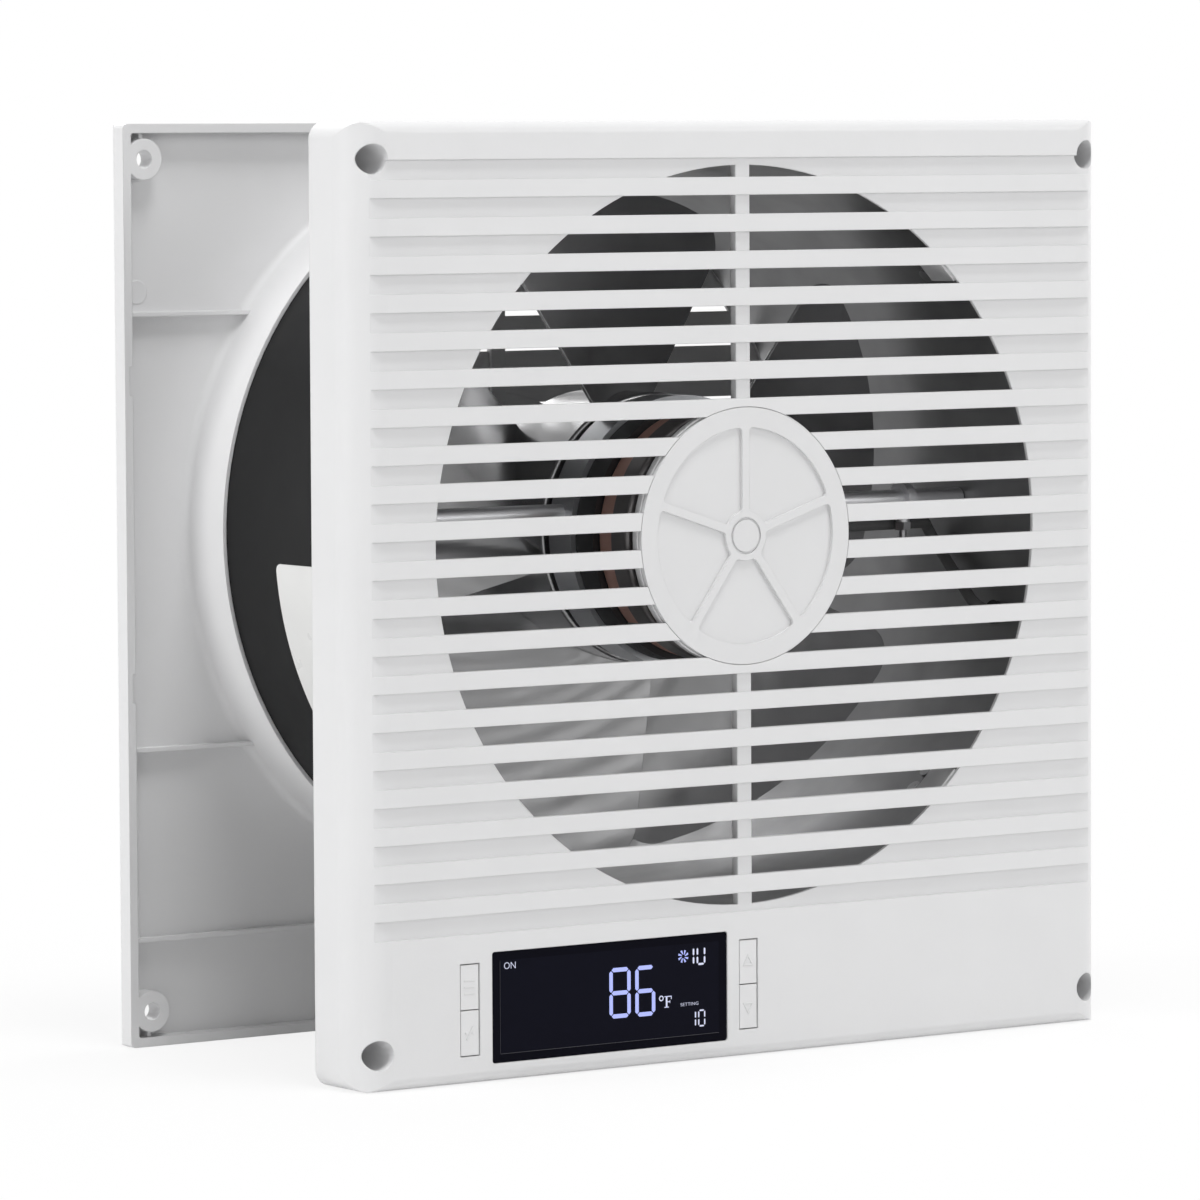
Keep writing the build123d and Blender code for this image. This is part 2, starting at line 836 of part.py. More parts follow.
rivet_seat = lug_base + lug_thickness + 2 * contact_gap
rivet_inner_seat = duct_bore - contact_gap
rivet_shanks = radial_cylinders(rivet_radius, rivet_angles, rivet_inner_seat, rivet_seat, rivet_y)
rivet_top = rivet_seat + rivet_head
rivet_tail = rivet_inner_seat - rivet_head
rivet_outer_heads = radial_cylinders(rivet_head_radius, rivet_angles, rivet_seat, rivet_top, rivet_y)
rivet_inner_heads = radial_cylinders(rivet_head_radius, rivet_angles, rivet_tail, rivet_inner_seat, rivet_y)
with BuildPart() as lug_rivets:
    add(rivet_shanks)
    add(rivet_outer_heads)
    add(rivet_inner_heads)
write(lug_rivets.part, "lug_rivets")

# Motor: end cap, windings, stator and the bracket that the rods enter
bearing_bore = bearing_radius + bearing_clearance
cap_inside = end_cap_radius - end_cap_wall
cap_body = disc(end_cap_radius, cap_front, cap_back)
cap_hollow = disc(cap_inside, cap_front + end_cap_wall, cap_back, bearing_radius + end_cap_wall)
cap_seat = disc(bearing_bore, cap_back - bearing_width - motor_gap, cap_back)


def motor_bolt_places(radius, start, end):
    """Four round pieces on the motor's bolt circle."""
    with BuildPart() as group:
        with BuildSketch(upright(start)):
            with Locations((0, axis_height)):
                with PolarLocations(motor_bolt_circle, 4, start_angle=45):
                    Circle(radius)
        extrude(amount=start - end)
    return group.part


bolt_holes = motor_bolt_places(motor_bolt_radius + motor_gap, cap_front, bracket_back)
bolt_pillars = motor_bolt_places(motor_bolt_radius + end_cap_wall / 2, cap_front, cap_back)
with BuildPart() as motor_end_cap:
    add(cap_body)
    fillet(motor_end_cap.edges().group_by(Axis.Y)[0], cap_round)
    add(cap_hollow, mode=Mode.SUBTRACT)
    add(bolt_pillars)
    add(cap_body, mode=Mode.INTERSECT)
    add(cap_seat, mode=Mode.SUBTRACT)
    add(bolt_holes, mode=Mode.SUBTRACT)
write(motor_end_cap.part, "motor_end_cap")


bolt_notches = motor_bolt_places(motor_bolt_radius + 4 * motor_gap, cap_front, bracket_back)


def winding(start, end, round_edge):
    """Taped overhang of the stator winding, notched for the motor bolts."""
    ring = disc(winding_outer, start, end, winding_inner)
    with BuildPart() as bundle:
        add(ring)
        fillet(bundle.edges().filter_by(GeomType.CIRCLE), round_edge)
        add(bolt_notches, mode=Mode.SUBTRACT)
    return bundle.part


front_winding = winding(cap_back + motor_gap, stator_front - motor_gap, winding_round)
back_winding = winding(stator_back + motor_gap, stator_back + winding_back, winding_round / 2)
with BuildPart() as motor_windings:
    add(front_winding)
    add(back_winding)
write(motor_windings.part, "motor_windings")

stator_ring = disc(motor_radius, stator_front, stator_back, stator_bore)
with BuildPart() as stator_core:
    add(stator_ring)
    with BuildSketch(upright(stator_front)):
        with Locations((0, axis_height)):
            with PolarLocations(stator_bore + slot_depth / 2, slot_count):
                Rectangle(slot_depth + motor_gap, slot_width)
    extrude(amount=-stator_length, mode=Mode.SUBTRACT)
    add(bolt_holes, mode=Mode.SUBTRACT)
write(stator_core.part, "stator_core")

bracket_body = disc(bracket_radius, bracket_front, bracket_back, shaft_radius + 1)
bracket_seat = disc(bearing_bore, bracket_front, bracket_front + bearing_width + motor_gap)
bracket_recess = disc(
    winding_outer + 4 * motor_gap, bracket_front, bracket_front + winding_back, winding_inner - motor_gap
)
socket_end = bracket_radius - rod_socket
bracket_sockets = rod_cylinders(rod_radius + bearing_clearance, socket_end, bracket_radius + rod_radius)
with BuildPart() as motor_bracket:
    add(bracket_body)
    add(bracket_seat, mode=Mode.SUBTRACT)
    add(bracket_recess, mode=Mode.SUBTRACT)
    add(bracket_sockets, mode=Mode.SUBTRACT)
    add(bolt_holes, mode=Mode.SUBTRACT)
write(motor_bracket.part, "motor_bracket")

bolt_shanks = motor_bolt_places(motor_bolt_radius, cap_front, bracket_back - motor_gap)
bolt_heads = motor_bolt_places(motor_bolt_head, cap_front - motor_bolt_radius, cap_front)
with BuildPart() as motor_bolts:
    add(bolt_shanks)
    add(bolt_heads)
write(motor_bolts.part, "motor_bolts")

bearing_inner = shaft_radius + bearing_clearance
write(disc(bearing_radius, cap_back - bearing_width, cap_back, bearing_inner), "front_bearing")
write(disc(bearing_radius, bracket_front, bracket_front + bearing_width, bearing_inner), "rear_bearing")

# Rods, their clamps and end screws
rod_bodies = rod_cylinders(rod_radius, socket_end + motor_gap, rod_ends)
rod_threads = rod_cylinders(rod_screw_radius, rod_ends - rod_screw_depth, rod_ends)
with BuildPart() as strut_rods:
    add(rod_bodies)
    add(rod_threads, mode=Mode.SUBTRACT)
write(strut_rods.part, "strut_rods")


def clamp_pegs(radius, top, bottom, sides=0):
    """Upright round or six-sided pieces under both rods, between two drops below their axis."""
    with BuildPart() as group:
        with BuildSketch(Plane.XY.offset(rod_z - top)):
            with Locations((0, rod_y)):
                with GridLocations(2 * collar_x, 0, 2, 1):
                    if sides > 0:
                        RegularPolygon(radius, sides)
                    else:
                        Circle(radius)
        extrude(amount=top - bottom)
    return group.part


clamp_start = collar_x - collar_width / 2
clamp_end = clamp_start + collar_width
clamp_boss_top = rod_radius + contact_gap
clamp_nut_top = clamp_boss_drop + contact_gap / 2
collar_bodies = rod_cylinders(collar_radius, clamp_start, clamp_end)
collar_bores = rod_cylinders(rod_radius + bearing_clearance, clamp_start, clamp_end)
clamp_bosses = clamp_pegs(clamp_boss_radius, clamp_boss_top, clamp_boss_drop)
clamp_bores = clamp_pegs(clamp_screw_radius + contact_gap / 4, 0, clamp_boss_drop)
with BuildPart() as strut_clamps:
    add(collar_bodies)
    add(clamp_bosses)
    add(collar_bores, mode=Mode.SUBTRACT)
    add(clamp_bores, mode=Mode.SUBTRACT)
write(strut_clamps.part, "strut_clamps")

clamp_shanks = clamp_pegs(clamp_screw_radius, clamp_boss_top, clamp_screw_drop)
clamp_nuts = clamp_pegs(clamp_nut_radius, clamp_nut_top, clamp_nut_top + clamp_nut_height, 6)
with BuildPart() as clamp_screws:
    add(clamp_shanks)
    add(clamp_nuts)
write(clamp_screws.part, "clamp_screws")

screw_seat = duct_radius + contact_gap
screw_tip = rod_ends - rod_screw_depth + motor_gap
rod_screw_shanks = rod_cylinders(rod_screw_radius - contact_gap / 4, screw_tip, screw_seat)
rod_screw_heads = rod_cylinders(rod_screw_head, screw_seat, screw_seat + rod_screw_head_height)
rod_screw_top = screw_seat + rod_screw_head_height
with BuildPart() as rod_screws:
    add(rod_screw_shanks)
    add(rod_screw_heads)
    with BuildSketch(Plane.YZ.offset(rod_screw_top)):
        with Locations((rod_y, rod_z)):
            Rectangle(1.3 * rod_screw_head, driver_slot)
            Rectangle(driver_slot, 1.3 * rod_screw_head)
    extrude(amount=-driver_depth, mode=Mode.SUBTRACT)
    with BuildSketch(Plane.YZ.offset(-rod_screw_top)):
        with Locations((rod_y, rod_z)):
            Rectangle(1.3 * rod_screw_head, driver_slot)
            Rectangle(driver_slot, 1.3 * rod_screw_head)
    extrude(amount=driver_depth, mode=Mode.SUBTRACT)
write(rod_screws.part, "rod_screws")

# Grommet in the duct wall and the motor lead that runs through it
flange_start = duct_bore - grommet_flange_thickness - 2 * contact_gap
neck_end = duct_radius + 2 * contact_gap
flange_end = flange_start + grommet_flange_thickness
collar_top = neck_end + grommet_flange_thickness
grommet_bore = radial_cylinders(
    lead_radius + contact_gap / 4, [grommet_angle], inside - lead_radius, outside + lead_radius, grommet_y
)
inner_flange = radial_cylinders(grommet_flange, [grommet_angle], flange_start, flange_end, grommet_y)
neck = radial_cylinders(grommet_neck, [grommet_angle], flange_start, neck_end, grommet_y)
outer_flange = radial_cylinders(grommet_flange, [grommet_angle], neck_end, collar_top, grommet_y)
with BuildPart() as lead_grommet:
    add(inner_flange)
    add(neck)
    add(outer_flange)
    add(grommet_bore, mode=Mode.SUBTRACT)
write(lead_grommet.part, "lead_grommet")

lead_turn = math.radians(grommet_angle)
lead_loop_turn = math.radians(lead_loop_angle)
lead_wall = duct_bore - lead_radius - 4 * contact_gap
lead_rise = rod_z - collar_radius - lead_radius - 4 * contact_gap
lead_y = bracket_back - lead_radius - contact_gap
lead_start = math.sqrt(bracket_radius**2 - (lead_rise - axis_height) ** 2) + contact_gap / 2
lead_pass = rod_y + clamp_nut_radius + lead_radius + 4 * contact_gap
lead_slope = (lead_pass - lead_y) / (collar_x - lead_start)
lead_outside = sleeve_radius + 4 * lead_radius
lead_inside = lead_wall - 3 * lead_radius
lead_end = band_centre + 0.4 * board_height + contact_gap
lead_points = [
    (lead_start, lead_y, lead_rise),
    (collar_x + lead_reach, lead_pass + lead_slope * lead_reach, lead_rise),
    (
        lead_wall * math.cos(lead_loop_turn),
        front + lead_loop,
        axis_height + lead_wall * math.sin(lead_loop_turn),
    ),
    (lead_inside * math.cos(lead_turn), grommet_y, axis_height + lead_inside * math.sin(lead_turn)),
    (lead_outside * math.cos(lead_turn), grommet_y, axis_height + lead_outside * math.sin(lead_turn)),
    (socket_x, board_back + 2 * lead_radius, axis_height / 2),
    (socket_x, board_back + 2 * lead_radius, lead_end),
]
with BuildPart() as motor_lead:
    with BuildLine() as lead_path:
        FilletPolyline(*lead_points, radius=lead_bend)
    with BuildSketch(Plane.YZ.offset(lead_start)):
        with Locations((lead_y, lead_rise)):
            Circle(lead_radius)
    sweep(path=lead_path.line)
write(motor_lead.part, "motor_lead")

# Blank label on the side of the duct
label_inner = duct_radius + contact_gap / 2
label_plane = radial_plane(label_start + label_arc / 2, 0, front + label_front + label_length / 2)
label_width = 2 * label_inner * math.sin(math.radians(label_arc / 2))
label_ring = disc(label_inner + label_thickness, front + label_front, duct_end, label_inner)
with BuildPart() as duct_label:
    with BuildSketch(label_plane):
        RectangleRounded(label_length, label_width, label_corner)
    extrude(amount=duct_diameter)
    add(label_ring, mode=Mode.INTERSECT)
write(duct_label.part, "duct_label")

# Fan wheel: shaft, rotor core, hub, blades, screws and nut
hub_boss_end = hub_front_y + hub_wall + hub_boss_length
nut_front = hub_boss_end + contact_gap
shaft_start = cap_back - bearing_width + 3 * motor_gap
write(disc(shaft_radius, shaft_start, nut_front + nut_thickness + shaft_radius), "motor_shaft")
write(disc(rotor_core_radius, stator_front, stator_back, shaft_radius + bearing_clearance), "rotor_core")

hub_end = hub_front_y + hub_length
hub_floor = hub_front_y + hub_wall
hub_cup = disc(hub_radius, hub_front_y, hub_end)
hub_hollow = disc(hub_radius - hub_wall, hub_floor, hub_end)
hub_boss = disc(hub_boss_radius, hub_floor, hub_boss_end)
hub_bore = disc(shaft_radius + bearing_clearance, hub_front_y, hub_boss_end)
with BuildPart() as fan_hub:
    add(hub_cup)
    fillet(fan_hub.edges().group_by(Axis.Y)[0], hub_wall / 2)
    add(hub_hollow, mode=Mode.SUBTRACT)
    add(hub_boss)
    add(hub_bore, mode=Mode.SUBTRACT)
    with BuildSketch(upright(hub_front_y)):
        with Locations((0, axis_height)):
            with PolarLocations(hub_screw_circle, blade_count, start_angle=hub_screw_angle):
                Circle(hub_screw_radius + contact_gap)
    extrude(amount=-hub_wall, mode=Mode.SUBTRACT)
write(fan_hub.part, "fan_hub")

with BuildPart() as hub_screws:
    with BuildSketch(upright(hub_front_y)):
        with Locations((0, axis_height)):
            with PolarLocations(hub_screw_circle, blade_count, start_angle=hub_screw_angle):
                Circle(hub_screw_head)
    extrude(amount=hub_screw_radius)
    with BuildSketch(upright(hub_front_y)):
        with Locations((0, axis_height)):
            with PolarLocations(hub_screw_circle, blade_count, start_angle=hub_screw_angle):
                Circle(hub_screw_radius)
    extrude(amount=-2 * hub_wall)
write(hub_screws.part, "hub_screws")

nut_bore = disc(shaft_radius + bearing_clearance, nut_front, nut_front + nut_thickness)
with BuildPart() as shaft_nut:
    with BuildSketch(upright(nut_front)):
        with Locations((0, axis_height)):
            RegularPolygon(nut_radius, 6)
    extrude(amount=-nut_thickness)
    add(nut_bore, mode=Mode.SUBTRACT)
write(shaft_nut.part, "shaft_nut")

# One blade: a twisted sheet, trimmed in front view to a sector with rounded tip corners
blade_root = hub_radius + hub_gap
blade_trail_angle = blade_lead_angle - blade_span_angle
sheet_margin = 4.0
sheet_steps = 8


def sheet_edge(radius):
    """Edge of the twisted sheet at one radius, a little longer than the blade."""
    share = (radius - blade_root) / (blade_tip_radius - blade_root)
    lead = blade_lead_root + share * (blade_lead_tip - blade_lead_root)
    points = []
    for step in range(sheet_steps + 1):
        turn = -sheet_margin + (blade_span_angle + 2 * sheet_margin) * step / sheet_steps
        angle = math.radians(blade_lead_angle - turn)
        depth = lead + (blade_trail - lead) * turn / blade_span_angle
        points.append((radius * math.cos(angle), front + depth, axis_height + radius * math.sin(angle)))
    return Edge.make_spline([Vector(*point) for point in points])


blade_sheet = Face.make_surface_from_curves(
    sheet_edge(blade_root - sheet_margin), sheet_edge(blade_tip_radius + sheet_margin)
)
with BuildPart() as blade:
    thicken(blade_sheet, amount=blade_thickness / 2, both=True)
    with BuildSketch(upright(front)) as blade_outline:
        with BuildLine():
            lead_side = PolarLine((0, axis_height), blade_tip_radius, angle=blade_lead_angle)
            trail_side = PolarLine((0, axis_height), blade_tip_radius, angle=blade_trail_angle)
            CenterArc((0, axis_height), blade_tip_radius, blade_trail_angle, blade_span_angle)
        make_face()
        fillet(blade_outline.vertices().sort_by_distance((0, 0, axis_height))[1:], blade_corner)
        with Locations((0, axis_height)):
            Circle(blade_root, mode=Mode.SUBTRACT)
    extrude(amount=-overall_depth, mode=Mode.INTERSECT)
fan_axis = Axis((0, 0, axis_height), (0, 1, 0))
with BuildPart() as fan_blades:
    for number in range(blade_count):
        add(blade.part.rotate(fan_axis, 360 * number / blade_count))
write(fan_blades.part, "fan_blades")

# Rear plate: a shallow tray that is open towards the wall, with the collar that slides on the duct
tray_width = plate_width - 2 * rear_lip
tray_height = plate_height - 2 * rear_lip
collar_bore = duct_radius + collar_clearance
collar_outside = collar_bore + collar_wall
turned = Location((0, back, 0), (0, 0, 180))
rear_shell = plate_block(
    plate_width, plate_height, rear_depth, rear_edge_radius, rear_edge_radius, rear_corner_radius
).moved(turned)
tray_collar = disc(collar_outside, rear_floor - collar_length, rear_floor, collar_bore)
collar_foot = disc(collar_outside + 2 * collar_fillet, rear_floor, rear_floor + groove_depth / 2, collar_bore)
with BuildPart() as collar_piece:
    add(tray_collar)
    add(collar_foot)
    foot_edges = collar_piece.edges().filter_by(GeomType.CIRCLE).group_by(Axis.Y)[-2]
    fillet(foot_edges.group_by(SortBy.RADIUS)[-2], collar_fillet)
rear_bosses = corner_cylinders(rear_boss_radius, rear_rim, rear_floor)
rear_holes = corner_cylinders(screw_hole_radius, rear_rim, back)
rear_sinks = corner_cylinders(screw_recess_radius, back - face_thickness / 2, back)
rear_hub = disc(hub_disc_radius, back - hub_disc_back, rear_floor)
rear_pocket = disc(medallion_radius + badge_clearance, back - medallion_thickness, back)
rear_peg_holes = pegs(peg_radius + peg_clearance, back - hub_disc_back, back)
rear_grooves = louvre_grooves(back, -1)
rear_slots = louvre_slots(back, -1)
with BuildPart() as tray_ribs:
    with BuildSketch(upright(rear_floor)):
        with Locations((0, axis_height)):
            with GridLocations(0, 2 * tray_rib_offset, 1, 2):
                Rectangle(tray_width, tray_rib_thickness)
            Circle(collar_outside, mode=Mode.SUBTRACT)
        with Locations((0, axis_height - low_rib_offset)):
            Rectangle(tray_width, tray_rib_thickness)
        with Locations((0, plate_height / 2)):
            with GridLocations(hole_spacing_x, tray_height, 2, 2):
                Rectangle(tray_rib_thickness, 2 * hole_inset_z)
            with GridLocations(tray_width, hole_spacing_z, 2, 2):
                Rectangle(2 * hole_inset_x, tray_rib_thickness)
            Rectangle(tray_width, tray_height, mode=Mode.INTERSECT)
    extrude(amount=tray_rib_height)
    with BuildSketch(upright(rear_floor)):
        with Locations((0, axis_height + pad_offset)):
            with GridLocations(hole_spacing_x, 0, 2, 1):
                Circle(pad_radius)
    extrude(amount=pad_height)
    with BuildSketch(upright(rear_floor)):
        with Locations((0, axis_height)):
            Rectangle(rib_width, 2 * grille_radius)
    extrude(amount=rib_depth)
with BuildPart() as rear_plate:
    add(rear_shell)
    with BuildSketch(upright(rear_rim)):
        with Locations((0, plate_height / 2)):
            RectangleRounded(tray_width, tray_height, rear_corner_radius / 2)
    extrude(amount=-(rear_depth - face_thickness), mode=Mode.SUBTRACT)
    add(collar_piece.part)
    add(tray_ribs.part)
    add(rear_bosses)
    add(rear_hub)
    add(rear_holes, mode=Mode.SUBTRACT)
    add(rear_sinks, mode=Mode.SUBTRACT)
    add(rear_grooves, mode=Mode.SUBTRACT)
    add(rear_slots, mode=Mode.SUBTRACT)
    add(rear_pocket, mode=Mode.SUBTRACT)
    add(rear_peg_holes, mode=Mode.SUBTRACT)
    # Snap notches in the side lips
    for notch_z in (axis_height + notch_upper, axis_height - notch_lower):
        with BuildSketch(upright(rear_rim)):
            with Locations((0, notch_z)):
                with GridLocations(tray_width, 0, 2, 1):
                    Rectangle(2 * notch_depth, notch_height)
        extrude(amount=-notch_length, mode=Mode.SUBTRACT)
write(rear_plate.part, "rear_plate")
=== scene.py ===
"""Looks of the room to room fan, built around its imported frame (metres, +Z up, controls on -Y)."""

import logging
import math
from dataclasses import dataclass
from enum import Enum

import bmesh
import bpy
from mathutils import Matrix, Vector


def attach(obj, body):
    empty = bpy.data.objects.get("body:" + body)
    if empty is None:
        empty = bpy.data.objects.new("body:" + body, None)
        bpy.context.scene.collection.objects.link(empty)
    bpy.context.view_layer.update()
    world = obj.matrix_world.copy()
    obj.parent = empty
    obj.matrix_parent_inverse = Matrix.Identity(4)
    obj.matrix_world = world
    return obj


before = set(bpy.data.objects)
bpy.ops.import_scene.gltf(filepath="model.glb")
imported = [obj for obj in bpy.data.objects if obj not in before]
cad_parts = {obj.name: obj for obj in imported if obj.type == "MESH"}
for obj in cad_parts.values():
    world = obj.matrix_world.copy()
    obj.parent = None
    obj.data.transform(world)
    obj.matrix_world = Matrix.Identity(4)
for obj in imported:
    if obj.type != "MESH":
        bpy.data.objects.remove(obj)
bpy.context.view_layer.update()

LOG = logging.getLogger("fan_scene")
MM = 0.001
FRONT_Y = -61.25
AXIS_Z = 142.4
MIX_SHARE = 0
MIX_FIRST = 6
MIX_SECOND = 7
MIX_RESULT = 2
Point = tuple[float, float]
Place = tuple[float, float, float]
Colour = tuple[float, float, float]
Socket = bpy.types.NodeSocket


class Grain(Enum):
    """Kinds of surface relief that the finishes choose from."""

    MOULDED = "moulded"
    POWDER = "powder"
    SHEET = "sheet"
    BRUSHED = "brushed"
    CAST = "cast"
    WOUND = "wound"
    LAMINATED = "laminated"
    PAPER = "paper"


GRAIN_SCALES: dict[Grain, float] = {
    Grain.MOULDED: 1400.0,
    Grain.POWDER: 900.0,
    Grain.SHEET: 500.0,
    Grain.BRUSHED: 2600.0,
    Grain.CAST: 650.0,
    Grain.PAPER: 1800.0,
    Grain.WOUND: 420.0,
    Grain.LAMINATED: 620.0,
}
GRAIN_STRETCH: dict[Grain, Place] = {Grain.BRUSHED: (0.04, 1.0, 1.0), Grain.SHEET: (1.0, 0.25, 1.0)}


class NodeSheet:
    """The node tree of a material or of the world, with short helpers."""

    def __init__(
        self, owner: bpy.types.Material | bpy.types.World, output: str = "ShaderNodeOutputMaterial"
    ) -> None:
        """Empties the owner's tree and adds its output.

        Args:
            owner: The material or world that gets the nodes.
            output: The output node's type name.
        """
        owner.use_nodes = True
        self.tree = owner.node_tree
        self.tree.nodes.clear()
        self.output = self.add(output)

    def add(self, kind: str, **settings: object) -> bpy.types.Node:
        """Adds a node.

        Args:
            kind: The node's type name.
            **settings: Attributes to set on it.

        Returns:
            The new node.
        """
        node = self.tree.nodes.new(kind)
        for name, value in settings.items():
            setattr(node, name, value)
        return node

    def link(self, source: Socket, target: Socket) -> None:
        """Joins two sockets."""
        self.tree.links.new(source, target)

    def join(self, operation: str, first: Socket, second: Socket) -> Socket:
        """Joins two values.

        Args:
            operation: The math node's operation.
            first: One value.
            second: The other value.

        Returns:
            The result.
        """
        node = self.add("ShaderNodeMath", operation=operation)
        self.link(first, node.inputs[0])
        self.link(second, node.inputs[1])
        return node.outputs["Value"]

    def backdrop_rays(self) -> Socket:
        """Adds the mask of the rays that look straight at the backdrop or mirror it.

        Returns:
            A value of 1 for camera, glossy and transmission rays.
        """
        path = self.add("ShaderNodeLightPath")
        direct = self.join("MAXIMUM", path.outputs["Is Camera Ray"], path.outputs["Is Glossy Ray"])
        return self.join("MAXIMUM", direct, path.outputs["Is Transmission Ray"])

    def blend_shaders(self, share: Socket, first: Socket, second: Socket) -> None:
        """Mixes two shaders into the output.

        Args:
            share: Share of the second one.
            first: Shader at 0.
            second: Shader at 1.
        """
        mix = self.add("ShaderNodeMixShader")
        self.link(share, mix.inputs[0])
        self.link(first, mix.inputs[1])
        self.link(second, mix.inputs[2])
        self.link(mix.outputs["Shader"], self.output.inputs["Surface"])

    def noise(self, place: Socket, scale: float, detail: float = 3.0) -> Socket:
        """Adds a noise texture.

        Args:
            place: The vector socket that it reads.
            scale: Cells per metre.
            detail: Number of finer layers.

        Returns:
            Its value socket.
        """
        node = self.add("ShaderNodeTexNoise")
        node.inputs["Scale"].default_value = scale
        node.inputs["Detail"].default_value = detail
        self.link(place, node.inputs["Vector"])
        return node.outputs["Fac"]

    def spread(self, value: Socket, low: float, high: float) -> Socket:
        """Maps the middle of a noise to a range.

        Args:
            value: The value socket to map.
            low: Result at the noise's low end.
            high: Result at its high end.

        Returns:
            The mapped value.
        """
        node = self.add("ShaderNodeMapRange")
        node.inputs["From Min"].default_value = 0.3
        node.inputs["From Max"].default_value = 0.7
        node.inputs["To Min"].default_value = low
        node.inputs["To Max"].default_value = high
        self.link(value, node.inputs["Value"])
        return node.outputs["Result"]

    def tint(self, value: Socket, dark: Colour, light: Colour) -> Socket:
        """Mixes two colours.

        Args:
            value: The mixing value.
            dark: Colour at 0.
            light: Colour at 1.

        Returns:
            The mixed colour.
        """
        node = self.add("ShaderNodeMix", data_type="RGBA")
        node.inputs[MIX_FIRST].default_value = (*dark, 1.0)
        node.inputs[MIX_SECOND].default_value = (*light, 1.0)
        self.link(value, node.inputs[MIX_SHARE])
        return node.outputs[MIX_RESULT]


@dataclass(frozen=True)
class Finish:
    """One procedural finish: colour, gloss and relief."""

    name: str
    colour: Colour
    roughness: float
    grain: Grain = Grain.MOULDED
    metallic: float = 0.0
    specular: float = 0.5
    coat: float = 0.0
    tint_spread: float = 0.03
    gloss_spread: float = 0.04
    grain_depth: float = 0.00002
    edge_radius: float = 0.0
    coat_roughness: float = 0.12
    relief_strength: float = 0.6
    relief_detail: float = 4.0
    cloud_scale: float = 35.0
    gloss_scale: float = 90.0
    winding_waver: float = 1.2

    def place(self, sheet: NodeSheet) -> Socket:
        """Adds the coordinates that the grain follows.

        Args:
            sheet: The node tree.

        Returns:
            The vector socket.
        """
        spot = sheet.add("ShaderNodeTexCoord").outputs["Object"]
        stretch = GRAIN_STRETCH.get(self.grain)
        if stretch is None:
            return spot
        mapping = sheet.add("ShaderNodeMapping")
        mapping.inputs["Scale"].default_value = stretch
        sheet.link(spot, mapping.inputs["Vector"])
        return mapping.outputs["Vector"]

    def relief(self, sheet: NodeSheet, spot: Socket) -> Socket:
        """Adds the height pattern of the grain.

        Args:
            sheet: The node tree.
            spot: Coordinates that the pattern follows.

        Returns:
            The height socket.
        """
        if self.grain not in (Grain.WOUND, Grain.LAMINATED):
            return sheet.noise(spot, GRAIN_SCALES[self.grain], self.relief_detail)
        wound = self.grain is Grain.WOUND
        wave = sheet.add("ShaderNodeTexWave", bands_direction="Y", rings_direction="Y")
        wave.wave_type = "RINGS" if wound else "BANDS"
        wave.inputs["Scale"].default_value = GRAIN_SCALES[self.grain]
        wave.inputs["Distortion"].default_value = self.winding_waver if wound else 0.0
        shift = sheet.add("ShaderNodeMapping")
        shift.inputs["Location"].default_value = (0.0, 0.0, -AXIS_Z * MM)
        sheet.link(spot, shift.inputs["Vector"])
        sheet.link(shift.outputs["Vector"], wave.inputs["Vector"])
        return wave.outputs["Fac"]

    def colour_socket(self, sheet: NodeSheet, spot: Socket) -> Socket:
        """Adds the slight colour variation.

        Args:
            sheet: The node tree.
            spot: Coordinates that it follows.

        Returns:
            The colour socket.
        """
        dark = tuple(channel * (1.0 - self.tint_spread) for channel in self.colour)
        light = tuple(min(1.0, channel * (1.0 + self.tint_spread)) for channel in self.colour)
        value = sheet.spread(sheet.noise(spot, self.cloud_scale), 0.0, 1.0)
        return sheet.tint(value, dark, light)

    def material(self) -> bpy.types.Material:
        """Builds the finish, or returns it when it is already there.

        Returns:
            The material.
        """
        known = bpy.data.materials.get(self.name)
        if known is not None:
            return known
        material = bpy.data.materials.new(self.name)
        sheet = NodeSheet(material)
        spot = self.place(sheet)
        shader = sheet.add("ShaderNodeBsdfPrincipled")
        shader.inputs["Metallic"].default_value = self.metallic
        shader.inputs["Specular IOR Level"].default_value = self.specular
        shader.inputs["Coat Weight"].default_value = self.coat
        shader.inputs["Coat Roughness"].default_value = self.coat_roughness
        sheet.link(self.colour_socket(sheet, spot), shader.inputs["Base Color"])
        smooth = self.roughness - self.gloss_spread
        rough = self.roughness + self.gloss_spread
        gloss = sheet.spread(sheet.noise(spot, self.gloss_scale), smooth, rough)
        sheet.link(gloss, shader.inputs["Roughness"])
        bump = sheet.add("ShaderNodeBump")
        bump.inputs["Strength"].default_value = self.relief_strength
        bump.inputs["Distance"].default_value = self.grain_depth
        sheet.link(self.relief(sheet, spot), bump.inputs["Height"])
        if self.edge_radius > 0:
            bevel = sheet.add("ShaderNodeBevel", samples=4)
            bevel.inputs["Radius"].default_value = self.edge_radius
            sheet.link(bevel.outputs["Normal"], bump.inputs["Normal"])
        sheet.link(bump.outputs["Normal"], shader.inputs["Normal"])
        self.extra(sheet, shader)
        sheet.link(shader.outputs["BSDF"], sheet.output.inputs["Surface"])
        return material

    def extra(self, sheet: NodeSheet, shader: bpy.types.Node) -> None:
        """Hook for finishes with more than colour, gloss and relief."""


